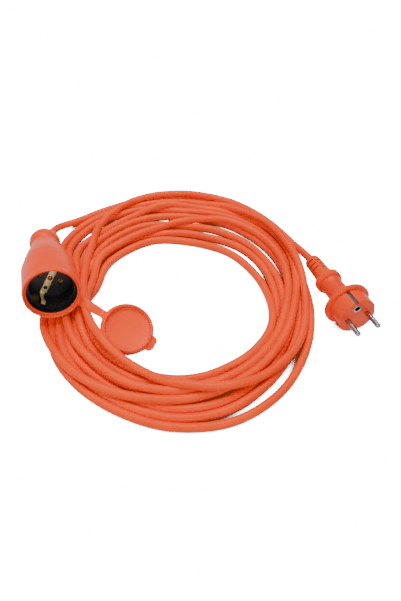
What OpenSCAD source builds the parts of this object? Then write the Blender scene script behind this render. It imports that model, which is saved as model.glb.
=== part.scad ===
// Splash-proof extension cord: an earthed coupler with a hinged sealing cap, a long round lead lying
// in a loose coil, and a moulded earthed plug. Millimetres, +Z up, the floor is z = 0.
// The origin is on the floor under the middle of the coupler and its open cap.

/* [Cable] */
// Outside diameter of the round cable
cable_d = 7.8; // [7:0.1:8.4]
// Diameter of one insulated core inside it
core_d = 2.5; // [2:0.1:2.8]

/* [Coupler] */
// Outside diameter of the mouth and the front barrel
mouth_d = 51; // [50:0.5:54]
// Length of the front barrel
barrel_length = 41; // [36:1:46]
// Bore of the rim, which the cap's skirt drops into
rim_bore_d = 47; // [46:0.2:48]
// Depth of the orange rim in front of the black insert
rim_depth = 4; // [3.8:0.1:5]
// Bore that takes a plug's flange, in front of the well
collar_bore_d = 45.4; // [45:0.1:46]
// Depth of the well's step below the rim's edge
collar_depth = 11.5; // [9:0.5:13]
// Bore of the socket well
well_d = 39.5; // [39.5:0.1:40.5]
// Depth of the socket well
well_depth = 17.5; // [17.5:0.1:19]
// Distance from the rim's edge to the middle of the round tail
tail_back = 103; // [98:1:108]
// Diameter of the round tail
tail_d = 31.7; // [30:0.1:33]
// Diameter of the waist in front of the tail
waist_d = 28.4; // [26:0.2:29]
// Angle of the contact pair about the coupler's axis
contact_roll = 38; // [30:1:45]

/* [Contacts] */
// Distance between the two pins, and between the two contacts
pin_pitch = 19; // [19:0.1:19.1]
// Diameter of a pin
pin_d = 4.8; // [4.8:0.02:4.86]
// Length of a pin in front of the plug's face
pin_length = 19; // [18.5:0.1:19.5]
// Width of the earth strips
earth_w = 6; // [5:0.2:6.4]
// Thickness of the earth strips
earth_t = 0.8; // [0.6:0.1:0.9]

/* [Cap] */
// Diameter of the cap's flange
cap_d = 48.6; // [48:0.2:50]
// Thickness of the cap's flange
cap_t = 2; // [1.6:0.1:2.4]
// Outside diameter of the skirt that drops into the rim
skirt_d = 46.4; // [46:0.1:46.4]
// Bore of the skirt
skirt_bore_d = 40.4; // [39:0.2:42]
// Height of the skirt
skirt_h = 3.8; // [3:0.1:3.8]
// Width of the finger tab
tab_w = 15; // [12:0.5:17]
// Reach of the finger tab beyond the flange
tab_reach = 6; // [4:0.5:8]
// Width of the strap at the coupler
strap_root_w = 10; // [8:0.5:11]
// Width of the strap at the cap
strap_end_w = 7.6; // [6:0.2:8]
// Thickness of the strap
strap_t = 1.2; // [1:0.1:1.3]
// Angle of the strap about the coupler's axis
strap_angle = -36; // [-38:1:-34]
// How far the open cap is swung away from shut
open_angle = 153; // [150:1:155]

/* [Plug] */
// Diameter of the plug's insert
insert_d = 37; // [36.5:0.1:37.4]
// Length of the insert in front of the flange
insert_length = 16; // [15:0.5:17.5]
// Diameter of the sealing flange
flange_d = 44.4; // [43:0.2:45]
// Thickness of the sealing flange
flange_t = 5; // [4:0.5:6]
// Diameter of the waist behind the flange
plug_waist_d = 20; // [18:0.5:22]
// Diameter of the grip collar
grip_d = 26; // [24:0.5:28]
// Diameter of the slotted strain relief
sleeve_d = 15.6; // [14:0.2:17]
// Distance from the front of the flange to the end of the strain relief
plug_back = 73; // [70:1:78]
// Offset of the earth socket from the plug's axis
earth_socket_out = 11; // [10:0.1:11.5]

/* [Coil] */
// Inside radius of the loose coil
coil_inner_r = 90; // [88:1:92]
// Outside radius of the loose coil
coil_outer_r = 131; // [126:1:134]
// Height of the loose coil
coil_h = 15; // [14:0.5:16]

/* [Hidden] */
$fn = 72;

// Places of the three parts on the floor.
mouth_at = [-21.4, -36, 40.8];
mouth_turn = -70;
mouth_lift = 14;
flange_at = [246.7, -33, 22.4];
plug_turn = -73;
plug_lift = 8;
plug_roll = 13;
coil_at = [89, -7];

// The cap's hinge in the coupler's frame: how far the fold lies in front of the rim's edge, out from
// the axis along the strap, and to the strap's side; and the fold's direction in the same terms.
fold_front = 8.3;
fold_out = 36.5;
fold_side = 2.2;
fold_axis = [0.386, -0.126, -0.914];

orange = [0.93, 0.24, 0.05];
brass = [0.83, 0.66, 0.3];
nickel = [0.75, 0.76, 0.78];
black = [0.04, 0.04, 0.05];
brown = [0.35, 0.18, 0.1];
blue = [0.1, 0.25, 0.7];
green = [0.35, 0.65, 0.15];

well_floor = -(collar_depth + well_depth);
insert_seat = well_floor - 2.5;
insert_back = well_floor - 22;
jacket_front = -78;
crimp_r = 2;
crimp_length = 6;
pin_hole_r = 2.7;
contact_r = 3.7;
contact_bore_r = pin_d / 2 + 0.05;
rivet_hole_r = 1.3;
strip_depth = 1.4;
groove_out = 1.2;
tail_r = tail_d / 2;
grommet_r = 6.5;
grommet_reach = 4;
// The cable's bend inside the tail is drawn as a ball, in a slightly larger round room.
bend_ball_r = cable_d / 2 + 0.5;
bend_room_r = cable_d / 2 + 1.1;
// The lead leaves the tail turned away from the coupler's axis, as its own stiffness bends it.
exit_turn = 150;
exit_dip = -5;

// Cord routes, chosen by hand: each runs from the face it leaves to its place in the coil.
lead_coupler_route = [
    [-50, 91, 13], [-46, 99, 12], [-39.5, 105.5, 11.5], [-31, 110.5, 11], [-20, 116, 10.5],
    [-8, 122, 10], [6, 130.5, 9.5], [22, 139, 9], [40, 143.5, 8.5], [57, 140, 8], [70, 130, 7.5],
    [79, 118, 7.5]
];
lead_plug_route = [
    [219.5, 55, 9.5], [214, 66.5, 8], [204.5, 84, 7], [194, 100, 6.5], [180, 114, 6.5],
    [164, 122, 7], [148, 123, 7.5], [131, 117, 7.5], [119, 111, 7.5]
];

function unit(v) = v / norm(v);
function turn_z(p, t) = [p.x * cos(t) - p.y * sin(t), p.x * sin(t) + p.y * cos(t), p.z];
// A point of a part whose own +X is turned by t about Z and lifted by e above the floor.
function placed(at, t, e, p) =
    at + turn_z([p.x * cos(e) - p.z * sin(e), p.y, p.x * sin(e) + p.z * cos(e)], t);
function along(t, e) = [cos(e) * cos(t), cos(e) * sin(t), sin(e)];

tail_at = placed(mouth_at, mouth_turn, mouth_lift, [-tail_back, 0, 0]);
exit_dir = along(mouth_turn + exit_turn, exit_dip);
exit_at = tail_at + (tail_r + grommet_reach) * exit_dir;
sleeve_end = placed(flange_at, plug_turn, plug_lift, [-plug_back, 0, 0]);
sleeve_dir = along(plug_turn + 180, -plug_lift);

// Radial point of the coupler's frame at a given angle about its axis.
function radial(x, r, side, angle) =
    [x, r * cos(angle) - side * sin(angle), r * sin(angle) + side * cos(angle)];
fold_at = radial(fold_front, fold_out, fold_side, strap_angle);
fold_dir = unit(radial(fold_axis.x, fold_axis.y, fold_axis.z, strap_angle));

module on_coupler() {
    translate(mouth_at) rotate([0, -mouth_lift, mouth_turn]) children();
}

module on_plug() {
    translate(flange_at) rotate([0, -plug_lift, plug_turn]) rotate([plug_roll, 0, 0]) children();
}

// A turned solid about X from [x, radius] points.
module turned(points) {
    rotate([0, 90, 0]) rotate_extrude() polygon([for (p = points) [p.y, p.x]]);
}

// A round bar along X between two distances.
module bar(from, to, r) {
    translate([min(from, to), 0, 0]) rotate([0, 90, 0]) cylinder(h = abs(to - from), r = r);
}

// A round bar between two points.
module rod(a, b, r) {
    d = b - a;
    translate(a)
        rotate([0, acos(d.z / norm(d)), atan2(d.y, d.x)])
            cylinder(h = norm(d), r = r);
}

// A flat bar between two points, its width along the side direction.
module flat_bar(a, b, side, wa, wb, t) {
    x = unit(b - a);
    z = unit(cross(x, side));
    y = cross(z, x);
    length = norm(b - a);
    multmatrix([[x.x, y.x, z.x, a.x], [x.y, y.y, z.y, a.y], [x.z, y.z, z.z, a.z], [0, 0, 0, 1]])
        translate([0, 0, -t / 2])
            linear_extrude(t)
                polygon([[0, -wa / 2], [length, -wb / 2], [length, wb / 2], [0, wa / 2]]);
}

// A tube swept along a route, with closed ends.
module swept(route, d, sides = 10) {
    count = len(route);
    tangent = [for (i = [0:count - 1]) unit(route[min(i + 1, count - 1)] - route[max(i - 1, 0)])];
    points = [
        for (i = [0:count - 1], k = [0:sides - 1])
            let (across = unit(cross(tangent[i], [0, 0, 1])), up = cross(across, tangent[i]),
                 a = 360 * k / sides)
            route[i] + d / 2 * (cos(a) * across + sin(a) * up)
    ];
    walls = [
        for (i = [0:count - 2], k = [0:sides - 1])
            let (a = i * sides + k, b = i * sides + (k + 1) % sides)
            [a, b, b + sides, a + sides]
    ];
    first = [for (k = [sides - 1:-1:0]) k];
    last = [for (k = [0:sides - 1]) (count - 1) * sides + k];
    polyhedron(points, concat([first], walls, [last]), convexity = 6);
}

// ---- Coupler -------------------------------------------------------------------------------------

module coupler_outline() {
    waist_r = waist_d / 2;
    barrel_r = mouth_d / 2;
    tail_start = asin(waist_r / tail_r);
    turned(concat(
        [[0, 0], [0, barrel_r - 0.8], [-0.8, barrel_r], [-barrel_length + 1, barrel_r],
         [-barrel_length, barrel_r - 1], [-barrel_length, barrel_r - 1.8],
         [-52, 23], [-62, 21.2], [-72, 18.9], [-82, 16.4], [-90, 14.7]],
        [for (t = [tail_start:6:174]) [-tail_back + tail_r * cos(t), tail_r * sin(t)]],
        [[-tail_back - tail_r, 0]]
    ));
}

module coupler_body() {
    color(orange) on_coupler() difference() {
        coupler_outline();
        turned([
            [1, 0], [1, rim_bore_d / 2 + 1.4], [-0.6, rim_bore_d / 2], [insert_seat, rim_bore_d / 2],
            [insert_seat, 19],
            [insert_back - 4, 19], [-74, 6], [jacket_front, cable_d / 2 + 0.1],
            [-tail_back, cable_d / 2 + 0.1], [-tail_back, 0]
        ]);
        translate([-tail_back, 0, 0]) sphere(r = bend_room_r);
        exit_cut(cable_d / 2 + 0.1, 0, tail_r + 2);
        exit_cut(grommet_r, tail_r - 6, tail_r + 4);
    }
}

// Cylinder about the lead's exit, between two distances from the middle of the tail.
module exit_cut(r, from, to) {
    translate([-tail_back, 0, 0])
        rotate([0, mouth_lift, 0])
            rotate([0, -exit_dip, exit_turn])
                bar(from, to, r);
}

module coupler_grommet() {
    color(orange) on_coupler()
        translate([-tail_back, 0, 0])
            rotate([0, mouth_lift, 0])
                rotate([0, -exit_dip, exit_turn])
                    turned([
                        [tail_r - 6, cable_d / 2 + 0.1], [tail_r - 6, grommet_r],
                        [tail_r + 0.5, grommet_r], [tail_r + grommet_reach, cable_d / 2 + 1],
                        [tail_r + grommet_reach, cable_d / 2 + 0.1]
                    ]);
}

module coupler_jacket_end() {
    color(orange) on_coupler() {
        bar(-tail_back, jacket_front, cable_d / 2);
        translate([-tail_back, 0, 0]) sphere(r = bend_ball_r);
        exit_cut(cable_d / 2, 0, tail_r + grommet_reach);
    }
}

// Everything inside the well keeps the contacts' own angle: +Z runs along the earth strip.
module at_contacts() {
    on_coupler() rotate([-contact_roll, 0, 0]) children();
}

module coupler_insert() {
    color(black) at_contacts() difference() {
        turned([
            [-rim_depth, collar_bore_d / 2], [-rim_depth, rim_bore_d / 2 - 0.05],
            [insert_seat, rim_bore_d / 2 - 0.05], [insert_seat, 18.6], [insert_back, 18.6],
            [insert_back, 0], [well_floor, 0], [well_floor, well_d / 2],
            [-collar_depth, well_d / 2], [-collar_depth, collar_bore_d / 2]
        ]);
        for (s = [-1, 1]) {
            translate([0, s * pin_pitch / 2, 0]) bar(well_floor - 4, well_floor + 1, pin_hole_r);
            translate([0, s * pin_pitch / 2, 0]) bar(insert_back - 1, well_floor - 2.5, contact_r + 0.1);
        }
        bar(insert_back - 1, well_floor + 1, rivet_hole_r + 0.1);
        // seat of the earth strip, across the floor and up both sides
        translate([well_floor - strip_depth, -earth_w / 2 - 0.1, -well_d / 2 - groove_out])
            cube([strip_depth + 1, earth_w + 0.2, well_d + 2 * groove_out]);
        for (s = [-1, 1])
            translate([well_floor - strip_depth, -earth_w / 2 - 0.1,
                       s > 0 ? well_d / 2 - 1 : -well_d / 2 - groove_out])
                cube([well_depth + strip_depth + 0.01, earth_w + 0.2, groove_out + 1]);
    }
}

// Split spring sleeve that grips one pin.
module contact() {
    difference() {
        bar(insert_back + 0.1, well_floor - 2.6, contact_r);
        bar(insert_back + 2, well_floor, contact_bore_r);
        translate([insert_back + 4, -0.4, -contact_r - 1]) cube([30, 0.8, 2 * contact_r + 2]);
    }
}

module coupler_contact_line() {
    color(brass) at_contacts() translate([0, pin_pitch / 2, 0]) contact();
}

module coupler_contact_neutral() {
    color(brass) at_contacts() translate([0, -pin_pitch / 2, 0]) contact();
}

module coupler_earth_strip() {
    reach = well_d / 2 + groove_out - 0.1;
    seat = well_floor - strip_depth + 0.1;
    color(brass) at_contacts() difference() {
        union() {
            translate([seat, -earth_w / 2, -reach]) cube([earth_t, earth_w, 2 * reach]);
            for (s = [-1, 1])
                translate([seat, -earth_w / 2, s > 0 ? reach - earth_t : -reach])
                    cube([well_depth - 1, earth_w, earth_t]);
        }
        bar(seat - 1, seat + 2, rivet_hole_r + 0.1);
        translate([0, 0, -11]) bar(seat - 1, seat + 2, 1.8);
    }
}

module coupler_earth_rivet() {
    color([0.65, 0.28, 0.16]) at_contacts() {
        bar(insert_back - 0.1, well_floor, rivet_hole_r);
        bar(well_floor - strip_depth + 0.1 + earth_t, well_floor - 0.02, 2.1);
    }
}

module coupler_crimps() {
    color(nickel) at_contacts()
        for (y = [-pin_pitch / 2, 0, pin_pitch / 2])
            translate([0, y, 0])
                bar(insert_back - crimp_length, y == 0 ? insert_back - 0.1 : insert_back + 0.1, crimp_r);
}

// One core between its crimp and the end of the cable's jacket, in a part's own frame.
module core(crimp, jacket) {
    rod(crimp, jacket, core_d / 2);
}

module coupler_core_line() {
    color(brown) at_contacts()
        core([insert_back - crimp_length, pin_pitch / 2, 0], [jacket_front, 1.8, -0.6]);
}

module coupler_core_neutral() {
    color(blue) at_contacts()
        core([insert_back - crimp_length, -pin_pitch / 2, 0], [jacket_front, -1.8, -0.6]);
}

module coupler_core_earth() {
    color(green) at_contacts()
        core([insert_back - crimp_length, 0, 0], [jacket_front, 0, 2.4]);
}

// ---- Cap and strap -------------------------------------------------------------------------------

// Gap between the rim's edge and the shut cap's flange.
cap_lift = 0.35;

// The cap's own pieces are drawn shut and then swung open about the fold.
module swung_open() {
    on_coupler() translate(fold_at) rotate(a = -open_angle, v = fold_dir) translate(-fold_at) children();
}

module cap() {
    color(orange) swung_open() rotate([strap_angle, 0, 0]) {
        difference() {
            union() {
                turned([
                    [-skirt_h, 0], [-skirt_h, skirt_d / 2 - 1.3], [-skirt_h + 0.6, skirt_d / 2 - 0.9],
                    [-1.2, skirt_d / 2 - 0.1], [cap_lift, skirt_d / 2 - 0.1],
                    [cap_lift, cap_d / 2 - 0.4], [cap_lift + 0.4, cap_d / 2],
                    [cap_lift + cap_t - 0.5, cap_d / 2], [cap_lift + cap_t, cap_d / 2 - 0.8],
                    [cap_lift + cap_t, 0]
                ]);
                translate([cap_lift, -cap_d / 2 + 3, 0])
                    rotate([0, 90, 0]) linear_extrude(cap_t - 0.3) tab_outline();
            }
            bar(-skirt_h - 2, cap_lift, skirt_bore_d / 2);
        }
    }
}

// A wide tongue with round corners that points away from the strap.
module tab_outline() {
    corner = 4.5;
    reach = tab_reach + 3;
    translate([-tab_w / 2, -reach + corner]) square([tab_w, reach - corner]);
    translate([-tab_w / 2 + corner, -reach]) square([tab_w - 2 * corner, reach]);
    for (s = [-1, 1]) translate([s * (tab_w / 2 - corner), -reach + corner]) circle(r = corner);
}

strap_side = radial(0, 0, 1, strap_angle);
root_from = radial(-2, mouth_d / 2 - 0.3, 0, strap_angle);
end_from = radial(cap_lift + 0.8, cap_d / 2 - 0.3, 0, strap_angle);
root_gap = 8.5;
end_gap = 0.6;

module strap_root() {
    to = fold_at - root_gap * unit(fold_at - root_from);
    color(orange) on_coupler() flat_bar(root_from, to, strap_side, strap_root_w, 9, strap_t);
}

module strap_end() {
    to = fold_at - end_gap * unit(fold_at - end_from);
    color(orange) swung_open() flat_bar(end_from, to, strap_side, strap_end_w, strap_end_w, strap_t);
}

// ---- Cord ----------------------------------------------------------------------------------------

module cord_lead_coupler() {
    color(orange)
        swept(concat([exit_at, exit_at + 6 * exit_dir], lead_coupler_route), cable_d);
}

module cord_lead_plug() {
    color(orange)
        swept(concat([sleeve_end, sleeve_end + 8 * sleeve_dir], lead_plug_route), cable_d);
}

// The bundle of turns as one ring, dented where the coupler lies on it.
module cord_coil() {
    r = coil_h / 2;
    inner = [for (a = [90:22.5:270]) [coil_inner_r + r + r * cos(a), r * sin(a)]];
    outer = [for (a = [-90:22.5:90]) [coil_outer_r - r + r * cos(a), r * sin(a)]];
    color(orange) difference() {
        translate([coil_at.x, coil_at.y, r])
            rotate_extrude($fn = 120) polygon(concat(inner, outer));
        on_coupler() bar(-tail_back - tail_r, 9, mouth_d / 2 + 0.8);
    }
}

// ---- Plug ----------------------------------------------------------------------------------------

bridge_r = 13.5;
bridge_half = 6;
plug_jacket_front = -30;
plug_crimp_back = -13;
earth_socket_r = 3.7;
earth_socket_back = -2;

module plug_body() {
    color(orange) on_plug() difference() {
        turned([
            [-45, 0], [-45, 9.2], [-43.5, 10.2], [-41, 11], [-39.5, grip_d / 2],
            [-34, grip_d / 2], [-32.6, grip_d / 2 - 1.2], [-32.2, 10.8], [-27, plug_waist_d / 2],
            [-16, plug_waist_d / 2], [-11, 11.8], [-flange_t - 2, 15.5],
            [-flange_t, flange_d / 2 - 1.5], [-flange_t + 1, flange_d / 2 - 0.2],
            [-1.2, flange_d / 2], [0, flange_d / 2 - 1.2],
            [0, insert_d / 2], [insert_length - 1, insert_d / 2],
            [insert_length, insert_d / 2 - 1], [insert_length, 0]
        ]);
        // side grooves of the insert, left and right
        for (s = [-1, 1])
            translate([0, s > 0 ? insert_d / 2 - 1.6 : -insert_d / 2 - 3, -5])
                cube([insert_length + 1, 4.6, 10]);
        // seats of the earth clips, top and bottom
        for (s = [-1, 1])
            translate([-1, -earth_w / 4 - 0.1, s > 0 ? insert_d / 2 - 2 : -insert_d / 2 - 1])
                cube([insert_length + 2, earth_w / 2 + 0.2, 3]);
        pin_holes(0, insert_length + 1);
        translate([0, 0, earth_socket_out])
            bar(earth_socket_back - 0.1, insert_length + 1, earth_socket_r + 0.05);
        // room for the bridge, the crimps and the cores
        bar(-bridge_half - 0.1, bridge_half + 0.1, bridge_r + 0.1);
        turned([
            [plug_jacket_front, 0], [plug_jacket_front, cable_d / 2 + 0.1], [-14, 6.6],
            [-bridge_half, 12], [-bridge_half, 0]
        ]);
        bar(-46, plug_jacket_front + 0.1, cable_d / 2 + 0.1);
    }
}

module pin_holes(from, to) {
    for (s = [-1, 1]) translate([0, s * pin_pitch / 2, 0]) bar(from, to, pin_d / 2 + 0.05);
}

// Soft sleeve with staggered slits, so that it bends in a curve with the lead.
module plug_strain_relief() {
    r = sleeve_d / 2;
    slit = 1.3;
    color(orange) on_plug() difference() {
        turned([
            [-45.1, cable_d / 2 + 0.1], [-45.1, 9], [-51, 8.4], [-plug_back + 3, r],
            [-plug_back + 1, r - 0.8], [-plug_back, r - 2.4], [-plug_back, cable_d / 2 + 0.1]
        ]);
        for (i = [0:2], side = [0:3])
            rotate([side * 90 + 45, 0, 0])
                translate([-plug_back + 6.5 + i * 6 + (side % 2) * 3, -r * 0.62, r - 2.6])
                    cube([slit, r * 1.24, 4]);
    }
}

module plug_bridge() {
    color(black) on_plug() difference() {
        bar(-bridge_half, bridge_half, bridge_r);
        pin_holes(-bridge_half - 1, bridge_half + 1);
        translate([0, 0, earth_socket_out])
            bar(earth_socket_back - 0.1, bridge_half + 1, earth_socket_r + 0.05);
    }
}

// A pin is a little slimmer where it is moulded in.
module pin() {
    tip = insert_length + pin_length;
    r = pin_d / 2;
    turned([
        [-bridge_half, 0], [-bridge_half, r - 0.2], [insert_length + 0.3, r - 0.2],
        [insert_length + 0.3, r], [tip - 1.6, r],
        [tip - 0.5, r - 0.5], [tip, r - 1.3], [tip, 0]
    ]);
}

module plug_pin_line() {
    color(nickel) on_plug() translate([0, pin_pitch / 2, 0]) pin();
}

module plug_pin_neutral() {
    color(nickel) on_plug() translate([0, -pin_pitch / 2, 0]) pin();
}

module plug_earth_clips() {
    color(nickel) on_plug()
        for (s = [-1, 1])
            translate([0.5, -earth_w / 4, s > 0 ? insert_d / 2 - 1.9 : -insert_d / 2 + 1.1])
                cube([insert_length - 1, earth_w / 2, earth_t]);
}

module plug_earth_socket() {
    color(nickel) on_plug() translate([0, 0, earth_socket_out]) difference() {
        bar(earth_socket_back, insert_length + 0.3, earth_socket_r);
        bar(earth_socket_back + 1, insert_length + 1, pin_d / 2 + 0.05);
    }
}

// Crimps from the back of the two pins and of the earth socket, drawn in towards the cable.
crimp_from = [[-7.2, 8.6, 0], [-7.2, -8.6, 0], [-7.2, 0, 7.6]];
crimp_to = [[plug_crimp_back, 4.5, 0], [plug_crimp_back, -4.5, 0], [plug_crimp_back, 0, 4.6]];
jacket_to = [[plug_jacket_front, 1.8, -0.6], [plug_jacket_front, -1.8, -0.6], [plug_jacket_front, 0, 2.2]];

module plug_crimps() {
    color(nickel) on_plug() for (i = [0:2]) rod(crimp_from[i], crimp_to[i], 1.6);
}

module plug_core_line() {
    color(brown) on_plug() core(crimp_to[0], jacket_to[0]);
}

module plug_core_neutral() {
    color(blue) on_plug() core(crimp_to[1], jacket_to[1]);
}

module plug_core_earth() {
    color(green) on_plug() core(crimp_to[2], jacket_to[2]);
}

module plug_jacket_end() {
    color(orange) on_plug() bar(-plug_back, plug_jacket_front, cable_d / 2);
}

coupler_body();
coupler_grommet();
coupler_insert();
coupler_contact_line();
coupler_contact_neutral();
coupler_earth_strip();
coupler_earth_rivet();
coupler_crimps();
coupler_core_line();
coupler_core_neutral();
coupler_core_earth();
coupler_jacket_end();
strap_root();
strap_end();
cap();
cord_lead_coupler();
cord_coil();
cord_lead_plug();
plug_body();
plug_strain_relief();
plug_bridge();
plug_pin_line();
plug_pin_neutral();
plug_earth_clips();
plug_earth_socket();
plug_crimps();
plug_core_line();
plug_core_neutral();
plug_core_earth();
plug_jacket_end();
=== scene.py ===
import math

import bpy
import bmesh
import numpy as np
from mathutils import Matrix, Vector


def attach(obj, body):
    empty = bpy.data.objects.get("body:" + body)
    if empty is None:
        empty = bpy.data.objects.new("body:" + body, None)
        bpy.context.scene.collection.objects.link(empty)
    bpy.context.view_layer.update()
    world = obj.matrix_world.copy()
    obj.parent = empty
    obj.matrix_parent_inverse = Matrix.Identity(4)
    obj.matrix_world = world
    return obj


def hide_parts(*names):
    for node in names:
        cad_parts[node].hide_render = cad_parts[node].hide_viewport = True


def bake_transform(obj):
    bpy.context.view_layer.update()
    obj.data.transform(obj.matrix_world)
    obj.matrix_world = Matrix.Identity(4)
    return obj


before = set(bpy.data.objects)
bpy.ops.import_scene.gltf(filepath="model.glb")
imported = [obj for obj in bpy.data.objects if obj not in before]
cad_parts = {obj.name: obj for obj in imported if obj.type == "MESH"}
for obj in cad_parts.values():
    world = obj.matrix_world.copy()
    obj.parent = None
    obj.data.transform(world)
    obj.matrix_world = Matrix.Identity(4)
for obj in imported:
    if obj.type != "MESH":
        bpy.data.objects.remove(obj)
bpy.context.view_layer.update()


# ---- Camera: looks down at fifty degrees over the near side of the coil --------------------------
camera_data = bpy.data.cameras.new("camera")
camera_data.sensor_fit = "HORIZONTAL"
camera_data.sensor_width = 36.0
camera_data.lens = 40.14
camera_data.clip_start = 0.01
camera_data.clip_end = 20.0
camera = bpy.data.objects.new("camera", camera_data)
camera.location = (0.1102, -0.2953, 0.3420)
camera.rotation_euler = (math.radians(40), 0, 0)
bpy.context.scene.collection.objects.link(camera)
bpy.context.scene.camera = camera


# ---- Cable ---------------------------------------------------------------------------------------
# About seven metres of round three-core cable: an extruded orange sheath, 7.8 mm thick, laid turn
# over turn by hand from the coupler's tail to the plug. Each later turn lies on the earlier ones.
cable_d = 0.0078
coil_middle = (0.089, -0.007)
# What it lies against: where the two moulded ends and the cap are, and the way each one faces.
coupler_mouth, coupler_axis = (-0.0214, -0.036, 0.0408), (0.331861, -0.911780, 0.241922)
plug_face, plug_axis = (0.2467, -0.033, 0.0224), (0.289526, -0.946998, 0.139173)
cap_middle, cap_facing = (0.0437, -0.0547, 0.0149), (0.30, -0.32, 0.90)
strap_at, strap_over = (0.008, -0.036), 0.0180
barrel_reach, hair = 0.0297, 0.0003

# The free end behind the coupler and the one in front of the plug, straight out of their exits.
tail_end = [(-0.0526, 0.0780, 0.0142), (-0.0516, 0.0834, 0.0138), (-0.0492, 0.0892, 0.0132),
            (-0.0453, 0.0949, 0.0125), (-0.0400, 0.1002, 0.0118), (-0.0295, 0.1086, 0.0108),
            (-0.0162, 0.1180, 0.0095), (0.0038, 0.1294, 0.0080)]
plug_end = [(0.2010, 0.0867, 0.0065), (0.2125, 0.0685, 0.0078), (0.2195, 0.0550, 0.0094),
            (0.2233, 0.0437, 0.0111), (0.2256, 0.0361, 0.0122)]

# Radius of each turn in millimetres at every twenty degrees, clockwise from the far side.
lanes = [
    [None] * 17 + [160],
    [157, 152, 142, 132, 127, 129, 133, 138, 140, 136, 131, 129, 128, 122, 110, 140, 148, 145],
    [135, 135, 134, 127, 120, 118, 121, 124, 129, 129, 124, 122, 120, 113, 100, 119, 126, 128],
    [124, 122, 119, 117, 114, 111, 112, 117, 121, 121, 117, 114, 114, 105,  92, 108, 114, 115],
    [107, 107, 106, 104, 103, 103, 104, 106, 109, 109, 107, 107, 106, 102,  98, 100,  99,  97],
    [ 95,  93,  96,  97,  96,  98, 101, 100,  99, 100, 100, 100,  99,  97,  86,  90,  89,  88],
    [ 82,  80,  82,  83,  87,  93, 100,  99,  96,  94,  92,  92,  92,  92,  90,  98,  97,  99],
    [108, 119, 121, 118, 111, 105, 104, 105, 106, 108, 108, 107, 109, 110, 106, 130, 131, 137],
    [140, 141, 139, 131, 120, 111, 108, 109, 112, 115, 119, 124, 128, 130, 119, 149, 158, 155],
    [152, 147, 139, 130, 124, 123, 124, 119, 113, 103,  93,  90,  89,  91,  96, 111, 140, 157],
    [158, 152, 145],
]


def spline_points(knots, step):
    """Even steps along a smooth curve through the knots."""
    knots = np.array(knots, float)
    ends = np.vstack([2 * knots[0] - knots[1], knots, 2 * knots[-1] - knots[-2]])
    parts = []
    for i in range(1, len(ends) - 2):
        a, b, c, d = ends[i - 1:i + 3]
        t = np.linspace(0, 1, 40, endpoint=False)[:, None]
        parts.append(0.5 * (2 * b + (c - a) * t + (2 * a - 5 * b + 4 * c - d) * t * t
                            + (3 * b - a - 3 * c + d) * t ** 3))
    curve = np.vstack(parts + [knots[-1:]])
    along = np.r_[0, np.cumsum(np.linalg.norm(np.diff(curve, axis=0), axis=1))]
    marks = np.linspace(0, along[-1], int(round(along[-1] / step)) + 1)
    return np.stack([np.interp(marks, along, curve[:, k]) for k in range(curve.shape[1])], 1)


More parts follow.
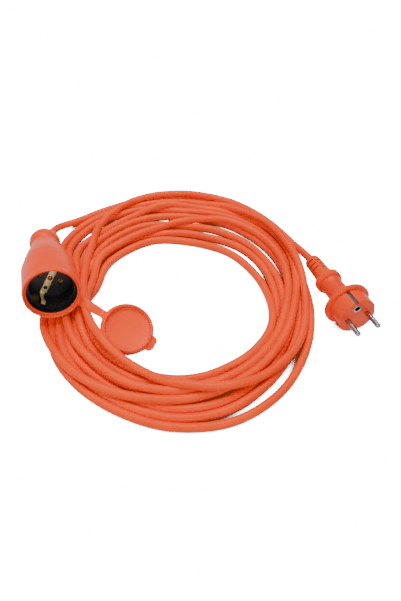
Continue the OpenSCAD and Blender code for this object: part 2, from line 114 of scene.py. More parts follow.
def lay_down(lane, step, rounds):
    """Let the cable fall onto the floor, the coupler's side, the cap, the plug and itself."""
    count = len(lane)
    place = lane.copy()
    arc = np.arange(count) * step
    held_start, held_end = arc < 0.010, arc > arc[-1] - 0.012
    free = (arc > 0.03) & (arc < arc[-1] - 0.04)
    # the coupler as round slices along its axis, from the mouth to the tail
    back = np.arange(0.033, 0.1035, 0.003)
    slices = np.array(coupler_mouth) - back[:, None] * coupler_axis
    slice_r = np.interp(back, [0, 0.041, 0.052, 0.0715, 0.091, 0.094, 0.103],
                        [0.0255, 0.0255, 0.0237, 0.0194, 0.0146, 0.0146, 0.01585])
    right = (0.9397, 0.3420)
    # the plug as round slices, the cap as a thin disc of small balls
    back = np.arange(-0.016, 0.070, 0.003)
    balls = np.array(plug_face) - back[:, None] * plug_axis
    ball_r = np.interp(back, [-0.016, 0, 0.005, 0.0075, 0.016, 0.022, 0.027, 0.0385, 0.045, 0.073],
                        [0.0185, 0.0222, 0.0222, 0.0155, 0.010, 0.010, 0.013, 0.013, 0.009, 0.0078])
    face = np.array(cap_facing) / np.linalg.norm(cap_facing)
    across = np.cross(face, [0, 0, 1]) / np.linalg.norm(np.cross(face, [0, 0, 1]))
    rim = [np.array(cap_middle) + r * (math.cos(turn) * across + math.sin(turn) * np.cross(face, across))
           for r in np.arange(0, 0.0235, 0.004)
           for turn in np.arange(0, 2 * math.pi, 0.004 / max(r, 0.004))]
    rim = np.array(rim)

    early, late = np.triu_indices(count, 1)
    keep = ((late - early) * step > 0.03)
    keep[keep] = np.linalg.norm(lane[early[keep], :2] - lane[late[keep], :2], axis=1) < 0.04
    early, late = early[keep], late[keep]
    for turn in range(rounds):
        settled = turn / rounds
        place[:, 2] -= 0.0006 if settled < 0.85 else 0.00025
        apart = place[early] - place[late]
        distance = np.sqrt((apart * apart).sum(1)) + 1e-9
        hit = distance < cable_d
        lower, upper, apart, distance = early[hit], late[hit], apart[hit], distance[hit]
        flat = np.hypot(apart[:, 0], apart[:, 1])
        beside = flat > 0.75 * cable_d
        # turns side by side push each other away, and a later turn climbs over an earlier one
        shift, hits = np.zeros((count, 2)), np.full(count, 1e-9)
        push = (0.5 * (cable_d - distance) / distance * beside)[:, None] * apart[:, :2]
        np.add.at(shift, lower, push)
        np.add.at(shift, upper, -push)
        np.add.at(hits, lower, beside.astype(float))
        np.add.at(hits, upper, beside.astype(float))
        place[:, :2] += shift / np.maximum(hits, 1)[:, None]
        climb = np.sqrt(np.maximum(cable_d ** 2 - flat ** 2, 0)) + apart[:, 2]
        climb = np.where(beside, 0, np.maximum(climb, 0))
        rise, sink = np.zeros(count), np.zeros(count)
        np.maximum.at(rise, upper, 0.7 * climb)
        np.maximum.at(sink, lower, 0.3 * climb)
        place[:, 2] += rise - sink
        place[:, :2] += (lane[:, :2] - place[:, :2]) * (0.06 if settled < 0.7 else 0.03)
        # the coupler pushes sideways and the plug pushes away
        offset = place[:, None] - slices[None]
        # (its underside takes them in by 2 mm, or it would press them through each other)
        reach = slice_r + cable_d / 2 - 0.0020
        away = np.sqrt(np.maximum(reach ** 2 - offset[:, :, 2] ** 2, 0))
        away -= offset[:, :, 0] * right[0] + offset[:, :, 1] * right[1]
        away = np.where((offset ** 2).sum(2) < reach ** 2, away, 0).max(1) * free
        if settled > 0.35:
            place[:, 0] += away * right[0]
            place[:, 1] += away * right[1]
            # while the barrel, raised in front, holds down what passes under its mouth
            spot = place[:, :2] - coupler_mouth[:2]
            behind = (spot[:, 1] * 0.9397 - spot[:, 0] * 0.3420) / 0.9703
            beside_axis = spot[:, 0] * right[0] + spot[:, 1] * right[1]
            ceiling = coupler_mouth[2] - 0.2419 * behind - np.sqrt(
                np.maximum(barrel_reach ** 2 - beside_axis ** 2, 0))
            under = (behind > 0) & (behind < 0.035) & (np.abs(beside_axis) < barrel_reach)
            place[under, 2] = np.minimum(place[under, 2], np.maximum(ceiling[under], 0.0039))
        offset = place[:, None] - balls[None]
        distance = np.sqrt((offset ** 2).sum(2))
        depth = ball_r[None] + cable_d / 2 + hair - distance
        worst = depth.argmax(1)
        for i in np.nonzero((depth.max(1) > 0) & free)[0]:
            place[i] += offset[i, worst[i]] / distance[i, worst[i]] * depth[i, worst[i]]
        # and the cap, lying on the earlier turns, holds the last one up
        over = np.nonzero(np.linalg.norm(place[:, :2] - rim[0, :2], axis=1) < 0.03)[0]
        over = over[over > 0.8 * count]
        offset = place[over, None] - rim[None]
        flat = (offset[:, :, :2] ** 2).sum(2)
        lift = np.sqrt(np.maximum(0.0058 ** 2 - flat, 0)) * (flat < 0.0058 ** 2) - offset[:, :, 2]
        lift = np.where(flat < 0.0058 ** 2, lift, 0).max(1)
        place[over, 2] += np.maximum(lift, 0)
        # the strap lies over all of it
        strap = np.abs(place[:, 0] - strap_at[0]) + np.abs(place[:, 1] - strap_at[1]) < 0.024
        place[strap, 2] = np.minimum(place[strap, 2], strap_over)
        # stiffness smooths the height and the departure from the lane
        for _ in range(3):
            bent = place.copy()
            bent[:, :2] -= lane[:, :2]
            bent[1:-1] += 0.5 * (0.5 * (bent[:-2] + bent[2:]) - bent[1:-1])
            bent[:, :2] += lane[:, :2]
            place[1:-1] = bent[1:-1]
        place[:, 2] = np.maximum(place[:, 2], cable_d / 2)
        place[held_start], place[held_end] = lane[held_start], lane[held_end]
    return place


knots = list(tail_end)
for level, lane in enumerate(lanes):
    for hour, radius in enumerate(lane):
        if radius:
            turn = math.radians(90 - 20 * hour)
            knots.append((coil_middle[0] + radius / 1000 * math.cos(turn),
                          coil_middle[1] + radius / 1000 * math.sin(turn),
                          0.004 + 0.004 * level if level < 10 else 0.038 - 0.012 * hour))
knots += plug_end
cable_line = lay_down(spline_points(knots, 0.006), 0.006, 420)
cable_line = spline_points(cable_line[::2] if len(cable_line) % 2 else
                           np.vstack([cable_line[::2], cable_line[-1:]]), 0.003)


class Value:
    """A number or colour in a material's tree, on which sums can be written."""

    def __init__(self, paint, socket):
        self.paint, self.socket = paint, socket

    def _sum(self, operation, *values):
        return self.paint.add("ShaderNodeMath", {"operation": operation}, dict(enumerate(values)))

    def __add__(self, other):
        return self._sum("ADD", self, other)

    def __rsub__(self, other):
        return self._sum("SUBTRACT", other, self)

    def __mul__(self, other):
        return self._sum("MULTIPLY", self, other)

    def clamp(self, low, high, to_low=0.0, to_high=1.0):
        return self.paint.add("ShaderNodeMapRange", {"clamp": True},
                              {"Value": self, "From Min": low, "From Max": high,
                               "To Min": to_low, "To Max": to_high})

    __radd__, __rmul__ = __add__, __mul__


class Paint:
    """A material under construction."""

    def __init__(self, name):
        self.material = bpy.data.materials.new(name)
        self.material.use_nodes = True
        self.tree = self.material.node_tree
        self.shader = self.tree.nodes["Principled BSDF"]

    def add(self, kind, settings=None, inputs=None, output=0):
        node = self.tree.nodes.new(kind)
        for key, value in (settings or {}).items():
            if key == "stops":
                ramp = node.color_ramp.elements
                while len(ramp) < len(value):
                    ramp.new(0.5)
                for stop, (place, colour) in zip(ramp, value):
                    stop.position, stop.color = place, (*colour, 1)
            else:
                setattr(node, key, value)
        for key, value in (inputs or {}).items():
            self.join(node.inputs[key], value)
        return Value(self, node.outputs[output])

    def join(self, socket, value):
        if isinstance(value, Value):
            self.tree.links.new(value.socket, socket)
        elif isinstance(value, tuple) and len(socket.default_value) == 4:
            socket.default_value = (*value, 1)
        else:
            socket.default_value = value

    def place(self, output="Object"):
        return self.add("ShaderNodeTexCoord", output=output)

    def noise(self, scale, detail=3.0, roughness=0.55, vector=None):
        return self.add("ShaderNodeTexNoise", None,
                        {"Vector": vector or self.place(), "Scale": scale, "Detail": detail,
                         "Roughness": roughness})

    def mix(self, factor, a, b):
        return self.add("ShaderNodeMix", {"data_type": "RGBA"}, {0: factor, 6: a, 7: b}, output=2)

    def bump(self, height, strength, distance, under=None):
        inputs = {"Height": height, "Strength": strength, "Distance": distance}
        if under:
            inputs["Normal"] = under
        return self.add("ShaderNodeBump", None, inputs)

    def set(self, **values):
        for key, value in values.items():
            self.join(self.shader.inputs[key.replace("_", " ")], value)
        return self.material


def finish_mesh(name, vertices, faces, material, body, smooth_angle):
    """A mesh object whose faces point outwards, riding on a body."""
    mesh = bpy.data.meshes.new(name)
    mesh.from_pydata([tuple(v) for v in vertices], [], faces)
    build = bmesh.new()
    build.from_mesh(mesh)
    bmesh.ops.remove_doubles(build, verts=build.verts, dist=1e-7)
    bmesh.ops.recalc_face_normals(build, faces=build.faces)
    build.to_mesh(mesh)
    build.free()
    for face in mesh.polygons:
        face.use_smooth = True
    mesh.set_sharp_from_angle(angle=math.radians(smooth_angle))
    mesh.materials.append(material)
    piece = bpy.data.objects.new(name, mesh)
    bpy.context.scene.collection.objects.link(piece)
    if body:
        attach(piece, body)
    return piece


def swept_tube(line, radius, sides, material):
    """Vertices and faces of a closed round tube along a line, swept by a geometry tree."""
    tree = bpy.data.node_groups.new("swept_tube", "GeometryNodeTree")
    wanted = {}
    for name, kind in (("Line", "Geometry"), ("Radius", "Float"), ("Sides", "Int"),
                       ("Material", "Material")):
        wanted[name] = tree.interface.new_socket(name, in_out="INPUT", socket_type="NodeSocket" + kind)
    tree.interface.new_socket("Tube", in_out="OUTPUT", socket_type="NodeSocketGeometry")

    def node(kind, **inputs):
        made = tree.nodes.new(kind)
        for key, value in inputs.items():
            socket = made.inputs[key.replace("_", " ")]
            if isinstance(value, bpy.types.NodeSocket):
                tree.links.new(value, socket)
            else:
                socket.default_value = value
        return made

    given = node("NodeGroupInput").outputs
    circle = node("GeometryNodeCurvePrimitiveCircle", Resolution=given["Sides"],
                  Radius=given["Radius"])
    curve = node("GeometryNodeMeshToCurve", Mesh=given["Line"])
    swept = node("GeometryNodeCurveToMesh", Curve=curve.outputs[0],
                 Profile_Curve=circle.outputs[0], Fill_Caps=True)
    real = node("GeometryNodeRealizeInstances", Geometry=swept.outputs[0])
    dressed = node("GeometryNodeSetMaterial", Geometry=real.outputs[0], Material=given["Material"])
    node("NodeGroupOutput", Tube=dressed.outputs[0])

    path = bpy.data.meshes.new("path")
    path.from_pydata([tuple(p) for p in line], [(i, i + 1) for i in range(len(line) - 1)], [])
    holder = bpy.data.objects.new("path", path)
    bpy.context.scene.collection.objects.link(holder)
    sweep = holder.modifiers.new("sweep", "NODES")
    sweep.node_group = tree
    for name, value in (("Radius", float(radius)), ("Sides", sides), ("Material", material)):
        sweep[wanted[name].identifier] = value
    seen = holder.evaluated_get(bpy.context.evaluated_depsgraph_get())
    mesh = bpy.data.meshes.new_from_object(seen)
    holder.modifiers.clear()
    vertices = [tuple(v.co) for v in mesh.vertices]
    faces = [tuple(p.vertices) for p in mesh.polygons]
    bpy.data.objects.remove(holder)
    for spare in (mesh, path):
        bpy.data.meshes.remove(spare)
    bpy.data.node_groups.remove(tree)
    return vertices, faces


def cable_sheath():
    """Extruded sheath: satin, with fine draw lines along it and slightly uneven colour."""
    paint = Paint("cable_sheath")
    cloud = paint.noise(24.0, 4.0)
    dust = paint.noise(700.0, 2.0, 0.7)
    rub = paint.noise(90.0, 6.0, 0.65).clamp(0.60, 0.75)
    colour = paint.mix(cloud.clamp(0.35, 0.65), (0.84, 0.048, 0.001), (0.95, 0.064, 0.001))
    normal = paint.bump(paint.noise(1500.0, 2.0, 0.6), 0.10, 0.00005)
    normal = paint.bump(paint.noise(180.0, 3.0), 0.08, 0.0003, normal)
    return paint.set(Base_Color=colour, Roughness=0.42 + rub * 0.10 + dust * 0.05, Normal=normal,
                     Specular_IOR_Level=0.32, Specular_Tint=(1.0, 0.50, 0.30))


sheath_material = cable_sheath()
cable = finish_mesh("cable", *swept_tube(cable_line, cable_d / 2, 16, sheath_material),
                    sheath_material, "root", 60)
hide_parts("cord_lead_coupler", "cord_coil", "cord_lead_plug")


# ---- Floor and studio light ----------------------------------------------------------------------
# A white floor without edges, which shows painted shade only down in the narrow gaps beside the cable,
# under one large soft box above and two smaller ones, at the left and in front. The world is white too.
floor_mesh = bpy.data.meshes.new("floor")
floor_mesh.from_pydata([(-4, -4, 0), (4, -4, 0), (4, 4, 0), (-4, 4, 0)], [], [(0, 1, 2, 3)])
floor = bpy.data.objects.new("floor", floor_mesh)
bpy.context.scene.collection.objects.link(floor)
floor_paint = Paint("studio_floor")
floor_paint.set(Base_Color=(0.80, 0.80, 0.80), Roughness=0.9)
# seen by the camera the floor glows white, with painted shade: dark brown where ambient occlusion finds the
# cable close around a gap
glow_with_painted_gap_shade = floor_paint.add("ShaderNodeEmission", None, {
    "Color": floor_paint.mix(floor_paint.add("ShaderNodeAmbientOcclusion", {"samples": 32},
                                             {"Distance": 0.012}, output=1).clamp(0.34, 0.47),
                             (0.012, 0.002, 0.0006), (1.0, 1.0, 1.0)), "Strength": 16.0})
mixed = floor_paint.add("ShaderNodeMixShader", None, {
    0: floor_paint.add("ShaderNodeLightPath"), 2: glow_with_painted_gap_shade})
floor_paint.tree.links.new(floor_paint.shader.outputs[0], mixed.socket.node.inputs[1])
floor_paint.tree.links.new(mixed.socket, floor_paint.tree.nodes["Material Output"].inputs[0])
floor_mesh.materials.append(floor_paint.material)


def soft_box(name, place, aim, size, power):
    """A square area light that faces its aim."""
    lamp_data = bpy.data.lights.new(name, "AREA")
    lamp_data.size = size
    lamp_data.energy = power
    lamp = bpy.data.objects.new(name, lamp_data)
    lamp.location = place
    lamp.rotation_euler = (Vector(aim) - Vector(place)).to_track_quat("-Z", "Y").to_euler()
    bpy.context.scene.collection.objects.link(lamp)


soft_box("soft_box_above", (0.1, 0.35, 1.2), (0.09, 0, 0), 0.7, 17)
soft_box("soft_box_left", (-0.9, -0.5, 0.9), (0.05, 0, 0), 0.5, 5.5)
soft_box("soft_box_front", (0.32, -0.95, 0.55), (0, -0.05, 0.03), 0.45, 4)
world = bpy.data.worlds.new("studio")
world.use_nodes = True
world.node_tree.nodes["Background"].inputs["Color"].default_value = (1, 1, 1, 1)
world.node_tree.nodes["Background"].inputs["Strength"].default_value = 0.36
seen = world.node_tree.nodes.new("ShaderNodeBackground")
seen.inputs["Color"].default_value = (1, 1, 1, 1)
seen.inputs["Strength"].default_value = 16
pick = world.node_tree.nodes.new("ShaderNodeMixShader")
rays = world.node_tree.nodes.new("ShaderNodeLightPath")
world.node_tree.links.new(rays.outputs["Is Camera Ray"], pick.inputs[0])
world.node_tree.links.new(world.node_tree.nodes["Background"].outputs[0], pick.inputs[1])
world.node_tree.links.new(seen.outputs[0], pick.inputs[2])
world.node_tree.links.new(pick.outputs[0], world.node_tree.nodes["World Output"].inputs[0])
bpy.context.scene.world = world


# ---- Coupler housing -----------------------------------------------------------------------------
# One soft moulding over the insert: a straight barrel with a rounded rim, a small step behind it,
# a long taper to the waist and a round tail, from whose side the cable leaves.
def soft_plastic(name, light, deep, gloss, grain):
    """Soft orange plastic: cloudy colour, faint moulding grain and a few rubbed, duller patches."""
    paint = Paint(name)
    cloud = paint.noise(38.0, 4.0)
    dust = paint.noise(900.0, 2.0, 0.7)
    rub = paint.noise(120.0, 6.0, 0.65).clamp(0.58, 0.72)
    colour = paint.mix(cloud.clamp(0.35, 0.65), deep, light)
    colour = paint.mix(rub * 0.18, colour, tuple(min(1.0, c * 1.15 + 0.02) for c in light))
    normal = paint.bump(paint.noise(2600.0, 2.0, 0.6), grain, 0.00006)
    normal = paint.bump(paint.noise(260.0, 3.0), grain * 0.6, 0.0002, normal)
    return paint.set(Base_Color=colour, Roughness=gloss + rub * 0.10 + dust * 0.04, Normal=normal,
                     Specular_IOR_Level=0.36, Specular_Tint=(1.0, 0.58, 0.40))


def frame_matrix(origin, heading, lift, roll=0.0):
    """Place of a part whose own +X is turned by heading about Z and lifted above the floor."""
    return (Matrix.Translation(origin) @ Matrix.Rotation(math.radians(heading), 4, "Z")
            @ Matrix.Rotation(math.radians(-lift), 4, "Y") @ Matrix.Rotation(math.radians(roll), 4, "X"))


def lathe(profile, sides, place):
    """Vertices and faces of a closed shape turned about its own X, from pole to pole."""
    vertices, faces, rings = [], [], []
    for x, r in profile:
        if r < 1e-6:
            rings.append([len(vertices)] * sides)
            vertices.append(place @ Vector((x, 0, 0)))
        else:
            rings.append(list(range(len(vertices), len(vertices) + sides)))
            vertices += [place @ Vector((x, r * math.cos(2 * math.pi * k / sides),
                                         r * math.sin(2 * math.pi * k / sides)))
                         for k in range(sides)]
    for ring, other in zip(rings, rings[1:]):
        for k in range(sides):
            corners = [ring[k], ring[(k + 1) % sides], other[(k + 1) % sides], other[k]]
            corners = list(dict.fromkeys(corners))
            if len(corners) > 2:
                faces.append(corners)
    return vertices, faces


def in_mm(points):
    return [(x / 1000, r / 1000) for x, r in points]


coupler_place = frame_matrix(coupler_mouth, -70, 14)
coupler_orange = soft_plastic("housing_orange", (0.95, 0.058, 0.002), (0.88, 0.044, 0.001), 0.36, 0.10)

taper = spline_points([(x, r, 0) for x, r in in_mm(
    [(-41.8, 23.65), (-47, 23.5), (-52, 23.05), (-62, 21.3), (-72, 18.8), (-82, 16.2),
     (-88, 14.8), (-92, 14.2)])], 0.0012)[:, :2]
tail = [(-0.103 + 0.01585 * math.cos(math.radians(t)), 0.01585 * math.sin(math.radians(t)))
        for t in range(50, 180, 5)]
neck = spline_points([(x, r, 0) for x, r in in_mm([(-92, 14.2), (-93.4, 14.15)])]
                     + [(tail[0][0] + 0.0006, tail[0][1] - 0.0004, 0)], 0.0008)[:, :2]
rim = in_mm([(-31.5, 23.48), (-6, 23.48), (-3.98, 23.1), (-3.95, 22.3), (-3.8, 22.05), (-3.5, 22.0),
             (-3.2, 22.2), (-3.0, 22.7), (-2.7, 23.2), (-1.2, 23.5), (-0.9, 23.7), (-0.6, 24.2),
             (-0.2, 24.35), (0, 24.55), (0, 24.85), (-0.1, 25.12), (-0.4, 25.38), (-0.9, 25.5),
             (-2.0, 25.53), (-6.0, 25.5), (-6.5, 25.42), (-7.0, 25.5), (-20, 25.55), (-38.5, 25.5),
             (-40.0, 25.4), (-40.6, 25.1), (-40.95, 24.6), (-41.15, 24.0), (-41.4, 23.75)])
inside = in_mm([(-103, 0), (-103, 4.0), (-78, 4.0), (-74, 6), (-55, 19), (-31.5, 19)])
housing = finish_mesh(
    "coupler_housing",
    *lathe(inside + rim + [tuple(p) for p in taper] + [tuple(p) for p in neck[1:-1]] + tail
           + [(-0.11885, 0)], 128, coupler_place),
    coupler_orange, "root", 40)
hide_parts("coupler_body")

grommet_place = frame_matrix(coupler_place @ Vector((-0.103, 0, 0)), 80, -5)
grommet = finish_mesh(
    "coupler_grommet_collar",
    *lathe(in_mm([(8, 0), (8, 6.6), (14.2, 6.6), (15.6, 6.45), (16.6, 6.0), (17.6, 5.4), (19.0, 4.9),
                  (20.6, 4.55), (21.4, 4.3), (21.5, 3.95), (17, 3.9), (17, 0)]), 64, grommet_place),
    coupler_orange, "root", 40)
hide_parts("coupler_grommet")


# ---- Coupler insert ------------------------------------------------------------------------------
# The hard black moulding with the socket well, pressed into the housing, and the plug's hard bridge.
# Both keep their designed shape and get a satin finish with a fine spark-eroded grain.
def hard_black(name):
    paint = Paint(name)
    rub = paint.noise(160.0, 6.0, 0.65).clamp(0.55, 0.72)
    colour = paint.mix(rub, (0.012, 0.012, 0.015), (0.030, 0.030, 0.036))
    normal = paint.bump(paint.noise(3200.0, 2.0, 0.6), 0.18, 0.00005)
    return paint.set(Base_Color=colour, Roughness=0.34 + rub * 0.16, Normal=normal, IOR=1.48)


def dress(material, *nodes):
    """Give CAD nodes their finish."""
    for node in nodes:
        piece = bpy.data.objects[node]
        for slot in piece.material_slots:
            slot.material = material


black_plastic = hard_black("insert_black")
dress(black_plastic, "coupler_insert", "plug_bridge")


# ---- Metal inside the coupler --------------------------------------------------------------------
# A stamped brass earth strip held by a copper rivet, two split contact sleeves and three crimps.
# The plug's turned pins, its earth socket and its dark sprung side contacts share the same finishes.
def metal(name, bright, dull, gloss, scratch=0.10, plating=1.0):
    paint = Paint(name)
    stain = paint.noise(420.0, 5.0, 0.6).clamp(0.42, 0.66)
    lines = paint.noise(3000.0, 2.0)
    normal = paint.bump(lines, scratch, 0.00004)
    return paint.set(Base_Color=paint.mix(stain, bright, dull), Metallic=plating,
                     Roughness=gloss + stain * 0.14 + lines * 0.05, Normal=normal)


brass = metal("contact_brass", (1.0, 0.80, 0.36), (0.80, 0.56, 0.20), 0.30, 0.10, 0.45)
copper = metal("rivet_copper", (0.47, 0.20, 0.11), (0.26, 0.10, 0.06), 0.34)
nickel = metal("pin_nickel", (0.46, 0.47, 0.49), (0.32, 0.32, 0.34), 0.16, 0.05)
steel = metal("pin_nickel_dark", (0.05, 0.06, 0.065), (0.03, 0.035, 0.04), 0.35, 0.05, 0.6)
dress(brass, "coupler_contact_line", "coupler_contact_neutral")
dress(nickel, "coupler_crimps", "plug_crimps", "plug_pin_line", "plug_pin_neutral",
      "plug_earth_socket")
dress(steel, "plug_earth_clips")

contact_place = coupler_place @ Matrix.Rotation(math.radians(-38), 4, "X")


def strip_mesh(line, widths, thickness, side, place):
    """A bent strip of sheet metal along a line, its width along one fixed side direction."""
    line = [Vector(p) / 1000 for p in line]
    side = Vector(side)
    vertices, faces = [], []
    for i, point in enumerate(line):
        heading = (line[min(i + 1, len(line) - 1)] - line[max(i - 1, 0)]).normalized()
        normal = heading.cross(side).normalized()
        half = widths[i] / 2000
        edge = min(0.00025, half * 0.5)
        outline = [(-half, -0.3), (-half + edge, -0.5), (half - edge, -0.5), (half, -0.3),
                   (half, 0.3), (half - edge, 0.5), (-half + edge, 0.5), (-half, 0.3)]
        vertices += [place @ (point + side * w + normal * (t * thickness / 1000)) for w, t in outline]
    for i in range(len(line) - 1):
        for k in range(8):
            a, b = i * 8 + k, i * 8 + (k + 1) % 8
            faces.append((a, b, b + 8, a + 8))
    faces += [tuple(range(8)), tuple((len(line) - 1) * 8 + k for k in reversed(range(8)))]
    return vertices, faces


def bent(points, step):
    return [tuple(p) for p in spline_points(np.array(points, float), step)]


# across the floor, up the far wall in a spring bow, and a narrower spring leg at the near wall
floor_line = bent([(-30.0, 0, -17.0), (-30.0, 0, -12), (-30.0, 0, 0), (-30.0, 0, 12), (-30.0, 0, 17.6),
                   (-29.0, 0, 19.6), (-26, 0, 20.1), (-20, 0, 19.3), (-15, 0, 18.6), (-12.6, 0, 19.4)], 0.5)
strip = strip_mesh(floor_line, [6.6] * len(floor_line), 0.8, (0, 1, 0), contact_place)
leg_line = bent([(-30.0, 0, -16.6), (-29.2, 0, -18.6), (-26.4, 0, -19.6), (-21, 0, -18.6),
                 (-17.0, 0, -17.4), (-14.4, 0, -18.2), (-12.6, 0, -19.4)], 0.5)
leg = strip_mesh(leg_line, [4.0] * len(leg_line), 0.8, (0, 1, 0), contact_place)
offset = len(strip[0])
earth_strip = finish_mesh(
    "earth_strip", strip[0] + leg[0],
    strip[1] + [tuple(i + offset for i in face) for face in leg[1]], brass, "root", 40)
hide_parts("coupler_earth_strip")

rivet = finish_mesh(
    "earth_rivet",
    *lathe(in_mm([(-51.1, 0), (-51.1, 1.3), (-29.7, 1.3), (-29.6, 2.2), (-29.2, 2.3), (-28.7, 2.1),
                  (-28.4, 1.6), (-28.3, 0.9), (-28.5, 0.7), (-28.5, 0)]), 32, contact_place),
    copper, "root", 40)
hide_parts("coupler_earth_rivet")
dimple = finish_mesh(
    "earth_strip_hole",
    *lathe(in_mm([(-29.9, 0), (-29.9, 1.8), (-29.52, 1.8), (-29.50, 0)]), 32,
           contact_place @ Matrix.Translation((0, 0, -0.011))),
    black_plastic, "root", 40)


# ---- Cores and jacket ends -----------------------------------------------------------------------
# The three stranded cores in brown, blue and green-yellow insulation, and the stripped end of the
# cable, inside each moulding. They keep their designed shape.
def core_paint(name, colour, dark):
    paint = Paint(name)
    return paint.set(Base_Color=paint.mix(paint.noise(300.0), colour, dark),
                     Roughness=0.4 + paint.noise(800.0) * 0.1)


dress(core_paint("core_brown", (0.16, 0.06, 0.03), (0.12, 0.045, 0.02)),
      "coupler_core_line", "plug_core_line")
dress(core_paint("core_blue", (0.03, 0.09, 0.42), (0.02, 0.06, 0.32)),
      "coupler_core_neutral", "plug_core_neutral")
dress(core_paint("core_green_yellow", (0.10, 0.42, 0.05), (0.75, 0.66, 0.04)),
      "coupler_core_earth", "plug_core_earth")
dress(sheath_material, "coupler_jacket_end", "plug_jacket_end")


# ---- Sealing cap and its strap -------------------------------------------------------------------
# One soft moulding: a round cap whose skirt drops into the rim, a finger tab, and a flat strap
# from the barrel's side, drawn folded in the cap's open place.
strap_angle, open_angle = -36, 153


def radial(x, r, side):
    turn = math.radians(strap_angle)
    return Vector((x, r * math.cos(turn) - side * math.sin(turn),
                   r * math.sin(turn) + side * math.cos(turn))) / 1000


fold = radial(8.3, 36.5, 2.2)
fold_axis = radial(0.386, -0.126, -0.914).normalized()
swing = (Matrix.Translation(fold) @ Matrix.Rotation(math.radians(-open_angle), 4, fold_axis)
         @ Matrix.Translation(-fold))
cap_place = coupler_place @ swing @ Matrix.Rotation(math.radians(strap_angle), 4, "X")
cap_profile = in_mm([
    (0.35, 0), (0.35, 18.6), (0.2, 19.4), (-0.3, 20.0), (-1.0, 20.2), (-3.1, 20.35), (-3.55, 20.6),
    (-3.75, 21.0), (-3.8, 21.5), (-3.7, 22.0), (-3.3, 22.35), (-2.6, 22.6), (-1.2, 23.0), (0.25, 23.05),
    (0.40, 23.2), (0.42, 23.8), (0.55, 24.1), (0.9, 24.28), (1.4, 24.3), (1.9, 24.1), (2.2, 23.7),
    (2.35, 23.0), (2.4, 18), (2.4, 0)])
cap_shell = lathe(cap_profile, 128, cap_place)


def rounded_plate(outline, low, high, edge, place):
    """A flat plate of some outline in Y and Z, between two X, with rounded edges."""
    count = len(outline)
    middle = [sum(p[k] for p in outline) / count for k in (0, 1)]
    levels = [(low, edge), (low + edge * 0.3, edge * 0.3), (low + edge, 0), (high - edge, 0),
              (high - edge * 0.3, edge * 0.3), (high, edge)]
    vertices, faces = [], []
    for x, inset in levels:
        for i, (y, z) in enumerate(outline):
            before, after = outline[i - 1], outline[(i + 1) % count]
            tangent = Vector((after[0] - before[0], after[1] - before[1])).normalized()
            vertices.append(place @ (Vector((x, y - tangent.y * inset, z + tangent.x * inset)) / 1000))
    for level in range(len(levels) - 1):
        for k in range(count):
            a, b = level * count + k, level * count + (k + 1) % count
            faces.append((a, b, b + count, a + count))
    faces += [tuple(range(count)), tuple((len(levels) - 1) * count + k for k in reversed(range(count)))]
    return vertices, faces


corner = [(-29.3 + 4.6 - 4.6 * math.cos(math.radians(t)), 7.5 - 4.6 + 4.6 * math.sin(math.radians(t)))
          for t in range(0, 91, 10)]
tab_outline = [(-19.0, 7.9)] + list(reversed(corner)) + [(y, -z) for y, z in corner] + [(-19.0, -7.9)]
tab = rounded_plate(tab_outline, 0.55, 2.3, 0.55, cap_place)
offset = len(cap_shell[0])
cap = finish_mesh("sealing_cap", cap_shell[0] + tab[0],
                  cap_shell[1] + [tuple(i + offset for i in face) for face in tab[1]],
                  coupler_orange, "cap", 35)
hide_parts("cap")

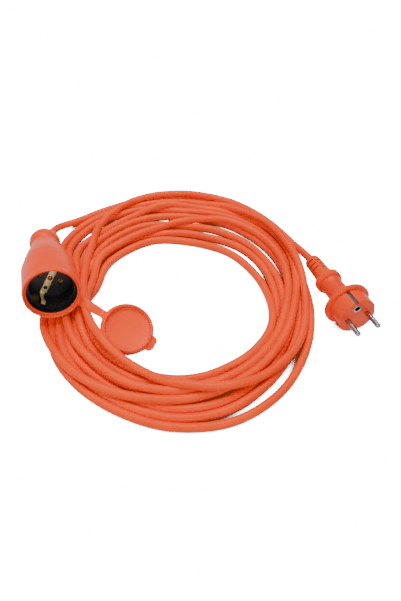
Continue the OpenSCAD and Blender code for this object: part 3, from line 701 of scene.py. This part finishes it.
# the strap leaves the barrel's side, arches over the fold and runs onto the cap's edge
root_side = (coupler_place.to_3x3() @ radial(0, 0, 1000)).normalized()
cap_side = (coupler_place.to_3x3() @ swing.to_3x3() @ radial(0, 0, 1000)).normalized()
strap_knots = [coupler_place @ radial(-3.2, 24.4, 0), coupler_place @ radial(-2.4, 27.0, 0),
               coupler_place @ radial(0.6, 31.0, 0.4), coupler_place @ fold,
               coupler_place @ swing @ radial(1.5, 27.6, 0.2), coupler_place @ swing @ radial(1.4, 23.2, 0)]
strap_line = spline_points([tuple(p) for p in strap_knots], 0.0006)
thick, strap_sides = 0.0009, 20
vertices, faces = [], []
for i, point in enumerate(strap_line):
    part = i / (len(strap_line) - 1)
    heading = Vector(strap_line[min(i + 1, len(strap_line) - 1)] - strap_line[max(i - 1, 0)]).normalized()
    side = root_side.lerp(cap_side, part * part * (3 - 2 * part))
    side = (side - heading * side.dot(heading)).normalized()
    up = heading.cross(side)
    root_flare = 1.6 * max(0, 1 - part / 0.12) ** 2
    cap_flare = 1.2 * max(0, 1 - (1 - part) / 0.1) ** 2
    half = (5.2 - 1.5 * part + root_flare + cap_flare) / 1000
    for k in range(strap_sides):
        turn = 2 * math.pi * k / strap_sides
        w = math.copysign(abs(math.cos(turn)) ** 0.35, math.cos(turn))
        t = math.copysign(abs(math.sin(turn)) ** 0.7, math.sin(turn))
        vertices.append(Vector(point) + side * (half * w) + up * (thick * t))
for i in range(len(strap_line) - 1):
    for k in range(strap_sides):
        a, b = i * strap_sides + k, i * strap_sides + (k + 1) % strap_sides
        faces.append((a, b, b + strap_sides, a + strap_sides))
last = (len(strap_line) - 1) * strap_sides
faces += [tuple(range(strap_sides)), tuple(last + k for k in reversed(range(strap_sides)))]
strap = finish_mesh("cap_strap", vertices, faces, coupler_orange, None, 50)
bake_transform(strap)
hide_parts("strap_root", "strap_end")


# ---- Plug ----------------------------------------------------------------------------------------
# Soft moulded plug over a hard bridge, with its flange, waist, grip collar and slotted sleeve.
# It keeps its designed shape; painted shade darkens its slots, by their depth around the plug's axis.
plug_orange = soft_plastic("plug_orange", (0.88, 0.052, 0.001), (0.78, 0.038, 0.001), 0.33, 0.08)
dress(plug_orange, "plug_body")


def slotted(name):
    """The plug's plastic, with painted shade down in the slots around its axis."""
    paint = Paint(name)
    arm = paint.add("ShaderNodeVectorMath", {"operation": "SUBTRACT"},
                    {0: paint.place(), 1: plug_face})
    across = paint.add("ShaderNodeVectorMath", {"operation": "CROSS_PRODUCT"},
                       {0: arm, 1: plug_axis})
    depth = paint.add("ShaderNodeVectorMath", {"operation": "LENGTH"}, {0: across}, output=1)
    above_painted_slot_shade = depth.clamp(0.0064, 0.0071)
    colour = paint.mix(paint.noise(38.0, 4.0).clamp(0.35, 0.65), (0.78, 0.038, 0.001), (0.88, 0.052, 0.001))
    # painted shade: near-black orange down in the slots, inside 6.4 mm of the plug's axis, standing in for
    # their shadow
    colour = paint.mix(above_painted_slot_shade, (0.045, 0.003, 0.001), colour)
    normal = paint.bump(paint.noise(2600.0, 2.0, 0.6), 0.08, 0.00006)
    return paint.set(Base_Color=colour, Roughness=0.62 - above_painted_slot_shade * 0.28, Normal=normal,
                     Specular_IOR_Level=0.42, Specular_Tint=(1.0, 0.62, 0.45))


dress(slotted("plug_sleeve"), "plug_strain_relief")
